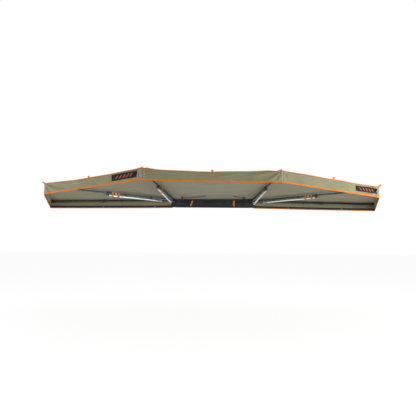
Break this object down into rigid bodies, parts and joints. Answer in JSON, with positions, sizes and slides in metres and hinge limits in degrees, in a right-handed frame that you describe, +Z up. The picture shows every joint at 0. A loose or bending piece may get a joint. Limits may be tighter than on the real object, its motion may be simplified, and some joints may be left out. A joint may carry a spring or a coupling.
{
  "type": "vehicle side awning",
  "caption": "Free-standing half-circle wing awning with telescopic folding arms, stowed legs and a fabric canopy with a valance, opened out from a vehicle rack rail.",
  "frame": {"origin": "centre of the back rail's flat rear face, midway between its two T slots", "axes": "+X along the rail, +Y out of the rail's rear face towards the vehicle, +Z up"},
  "size_m": [6.0954, 2.5157, 0.2841],
  "materials": {
    "rail_black": "black powder coat, semi-matt",
    "cover_black": "coated black cover cloth",
    "bracket_black": "black powder coat",
    "pin_steel": "zinc plated",
    "arm_charcoal": "dark anodised",
    "casting_black": "moulded glass-filled nylon",
    "leg_silver": "bright anodised",
    "strap_orange": "woven webbing",
    "foot_rubber": "moulded, light grey",
    "canopy_khaki": "coated ripstop"
  },
  "bodies": {
    "rail": {"back_rail": "rail_black", "canopy_rail": "rail_black", "travel_cover": "cover_black", "canopy_centre": "canopy_khaki", "left_hub_bracket": "bracket_black", "right_hub_bracket": "bracket_black", "left_hub_pin": "pin_steel", "right_hub_pin": "pin_steel", "left_case_strap": "strap_orange", "right_case_strap": "strap_orange"},
    "left_front_arm": {"left_front_arm": "arm_charcoal", "left_front_clamp": "casting_black", "left_front_leg_strap": "strap_orange"},
    "left_front_extension": {"left_front_extension": "arm_charcoal", "left_front_tip": "casting_black"},
    "left_front_lever": {"left_front_clamp_lever": "casting_black"},
    "left_front_leg": {"left_front_leg": "leg_silver"},
    "left_front_leg_extension": {"left_front_leg_extension": "leg_silver", "left_front_leg_foot": "foot_rubber"},
    "left_middle_arm": {"left_middle_arm": "arm_charcoal", "left_middle_clamp": "casting_black", "left_middle_leg_strap": "strap_orange", "left_front_canopy": "canopy_khaki"},
    "left_middle_extension": {"left_middle_extension": "arm_charcoal", "left_middle_tip": "casting_black"},
    "left_middle_lever": {"left_middle_clamp_lever": "casting_black"},
    "left_middle_leg": {"left_middle_leg": "leg_silver"},
    "left_middle_leg_extension": {"left_middle_leg_extension": "leg_silver", "left_middle_leg_foot": "foot_rubber"},
    "left_rear_arm": {"left_rear_arm": "arm_charcoal", "left_rear_clamp": "casting_black", "left_rear_canopy": "canopy_khaki"},
    "left_rear_extension": {"left_rear_extension": "arm_charcoal", "left_rear_tip": "casting_black"},
    "left_rear_lever": {"left_rear_clamp_lever": "casting_black"},
    "right_front_arm": {"right_front_arm": "arm_charcoal", "right_front_clamp": "casting_black", "right_front_leg_strap": "strap_orange"},
    "right_front_extension": {"right_front_extension": "arm_charcoal", "right_front_tip": "casting_black"},
    "right_front_lever": {"right_front_clamp_lever": "casting_black"},
    "right_front_leg": {"right_front_leg": "leg_silver"},
    "right_front_leg_extension": {"right_front_leg_extension": "leg_silver", "right_front_leg_foot": "foot_rubber"},
    "right_middle_arm": {"right_middle_arm": "arm_charcoal", "right_middle_clamp": "casting_black", "right_middle_leg_strap": "strap_orange", "right_front_canopy": "canopy_khaki"},
    "right_middle_extension": {"right_middle_extension": "arm_charcoal", "right_middle_tip": "casting_black"},
    "right_middle_lever": {"right_middle_clamp_lever": "casting_black"},
    "right_middle_leg": {"right_middle_leg": "leg_silver"},
    "right_middle_leg_extension": {"right_middle_leg_extension": "leg_silver", "right_middle_leg_foot": "foot_rubber"},
    "right_rear_arm": {"right_rear_arm": "arm_charcoal", "right_rear_clamp": "casting_black", "right_rear_canopy": "canopy_khaki"},
    "right_rear_extension": {"right_rear_extension": "arm_charcoal", "right_rear_tip": "casting_black"},
    "right_rear_lever": {"right_rear_clamp_lever": "casting_black"}
  },
  "joints": [
    {"name": "left_fold", "type": "hinge", "parent": "rail", "child": "left_front_arm", "pos_m": [-0.755, -0.2408, 0.0455], "axis": [0, 0, 1], "range_deg": [0, 94], "deforming": ["left_front_canopy", "left_rear_canopy", "canopy_centre"]},
    {"name": "left_front_slide", "type": "slide", "parent": "left_front_arm", "child": "left_front_extension", "axis": [0.0697, 0.9968, -0.0384], "range_m": [0, 0.9205]},
    {"name": "left_front_lever_turn", "type": "hinge", "parent": "left_front_arm", "child": "left_front_lever", "pos_m": [-0.82539, -1.53412, 0.06823], "axis": [0.9976, -0.0698, 0], "range_deg": [0, 90]},
    {"name": "left_front_leg_swing", "type": "hinge", "parent": "left_front_arm", "child": "left_front_leg", "pos_m": [-0.82368, -1.50962, 0.05628], "axis": [-0.9976, 0.0698, 0], "range_deg": [0, 87.7]},
    {"name": "left_front_leg_slide", "type": "slide", "parent": "left_front_leg", "child": "left_front_leg_extension", "axis": [0.0695, 0.9945, -0.0785], "range_m": [0, 0.8605]},
    {"name": "left_middle_fold", "type": "hinge", "parent": "rail", "child": "left_middle_arm", "pos_m": [-0.755, -0.2408, 0.0455], "axis": [0, 0, 1], "range_deg": [0, 137.01]},
    {"name": "left_middle_slide", "type": "slide", "parent": "left_middle_arm", "child": "left_middle_extension", "axis": [0.7314, 0.682, 0], "range_m": [0, 0.9205]},
    {"name": "left_middle_lever_turn", "type": "hinge", "parent": "left_middle_arm", "child": "left_middle_lever", "pos_m": [-1.71711, -1.1079, 0.0185], "axis": [0.682, -0.7314, 0], "range_deg": [0, 90]},
    {"name": "left_middle_leg_swing", "type": "hinge", "parent": "left_middle_arm", "child": "left_middle_leg", "pos_m": [-1.69882, -1.09085, 0.0075], "axis": [-0.682, 0.7314, 0], "range_deg": [0, 90]},
    {"name": "left_middle_leg_slide", "type": "slide", "parent": "left_middle_leg", "child": "left_middle_leg_extension", "axis": [0.7314, 0.682, 0], "range_m": [0, 0.8605]},
    {"name": "left_rear_fold", "type": "hinge", "parent": "rail", "child": "left_rear_arm", "pos_m": [-0.755, -0.2408, 0.0455], "axis": [0, 0, 1], "range_deg": [0, 180.01]},
    {"name": "left_rear_slide", "type": "slide", "parent": "left_rear_arm", "child": "left_rear_extension", "axis": [0.9998, 0, 0.0175], "range_m": [0, 0.9205]},
    {"name": "left_rear_lever_turn", "type": "hinge", "parent": "left_rear_arm", "child": "left_rear_lever", "pos_m": [-2.04933, -0.1768, -0.0041], "axis": [0, -1, 0], "range_deg": [0, 90]},
    {"name": "right_fold", "type": "hinge", "parent": "rail", "child": "right_front_arm", "pos_m": [0.755, -0.1108, 0.0455], "axis": [0, 0, -1], "range_deg": [0, 94], "deforming": ["right_front_canopy", "right_rear_canopy"]},
    {"name": "right_front_slide", "type": "slide", "parent": "right_front_arm", "child": "right_front_extension", "axis": [-0.0697, 0.9968, -0.0384], "range_m": [0, 0.9205]},
    {"name": "right_front_lever_turn", "type": "hinge", "parent": "right_front_arm", "child": "right_front_lever", "pos_m": [0.82539, -1.40412, 0.06823], "axis": [0.9976, 0.0698, 0], "range_deg": [0, 90]},
    {"name": "right_front_leg_swing", "type": "hinge", "parent": "right_front_arm", "child": "right_front_leg", "pos_m": [0.82368, -1.37962, 0.05628], "axis": [-0.9976, -0.0698, 0], "range_deg": [0, 87.7]},
    {"name": "right_front_leg_slide", "type": "slide", "parent": "right_front_leg", "child": "right_front_leg_extension", "axis": [-0.0695, 0.9945, -0.0785], "range_m": [0, 0.8605]},
    {"name": "right_middle_fold", "type": "hinge", "parent": "rail", "child": "right_middle_arm", "pos_m": [0.755, -0.1108, 0.0455], "axis": [0, 0, -1], "range_deg": [0, 137.01]},
    {"name": "right_middle_slide", "type": "slide", "parent": "right_middle_arm", "child": "right_middle_extension", "axis": [-0.7314, 0.682, 0], "range_m": [0, 0.9205]},
    {"name": "right_middle_lever_turn", "type": "hinge", "parent": "right_middle_arm", "child": "right_middle_lever", "pos_m": [1.71711, -0.9779, 0.0185], "axis": [0.682, 0.7314, 0], "range_deg": [0, 90]},
    {"name": "right_middle_leg_swing", "type": "hinge", "parent": "right_middle_arm", "child": "right_middle_leg", "pos_m": [1.69882, -0.96085, 0.0075], "axis": [-0.682, -0.7314, 0], "range_deg": [0, 90]},
    {"name": "right_middle_leg_slide", "type": "slide", "parent": "right_middle_leg", "child": "right_middle_leg_extension", "axis": [-0.7314, 0.682, 0], "range_m": [0, 0.8605]},
    {"name": "right_rear_fold", "type": "hinge", "parent": "rail", "child": "right_rear_arm", "pos_m": [0.755, -0.1108, 0.0455], "axis": [0, 0, -1], "range_deg": [0, 180.01]},
    {"name": "right_rear_slide", "type": "slide", "parent": "right_rear_arm", "child": "right_rear_extension", "axis": [-0.9998, 0, 0.0175], "range_m": [0, 0.9205]},
    {"name": "right_rear_lever_turn", "type": "hinge", "parent": "right_rear_arm", "child": "right_rear_lever", "pos_m": [2.04933, -0.0468, -0.0041], "axis": [0, 1, 0], "range_deg": [0, 90]}
  ],
  "couplings": [
    {"joint": "left_front_slide", "follows": "left_fold", "m_per_rad": 0.56077},
    {"joint": "left_front_leg_slide", "follows": "left_front_leg_swing", "m_per_rad": 0.56185},
    {"joint": "left_middle_fold", "follows": "left_fold", "ratio": 1.4574},
    {"joint": "left_middle_slide", "follows": "left_fold", "m_per_rad": 0.56077},
    {"joint": "left_middle_leg_slide", "follows": "left_middle_leg_swing", "m_per_rad": 0.54749},
    {"joint": "left_rear_fold", "follows": "left_fold", "ratio": 1.9149},
    {"joint": "left_rear_slide", "follows": "left_fold", "m_per_rad": 0.56077},
    {"joint": "right_front_slide", "follows": "right_fold", "m_per_rad": 0.56077},
    {"joint": "right_front_leg_slide", "follows": "right_front_leg_swing", "m_per_rad": 0.56185},
    {"joint": "right_middle_fold", "follows": "right_fold", "ratio": 1.4574},
    {"joint": "right_middle_slide", "follows": "right_fold", "m_per_rad": 0.56077},
    {"joint": "right_middle_leg_slide", "follows": "right_middle_leg_swing", "m_per_rad": 0.54749},
    {"joint": "right_rear_fold", "follows": "right_fold", "ratio": 1.9149},
    {"joint": "right_rear_slide", "follows": "right_fold", "m_per_rad": 0.56077}
  ]
}
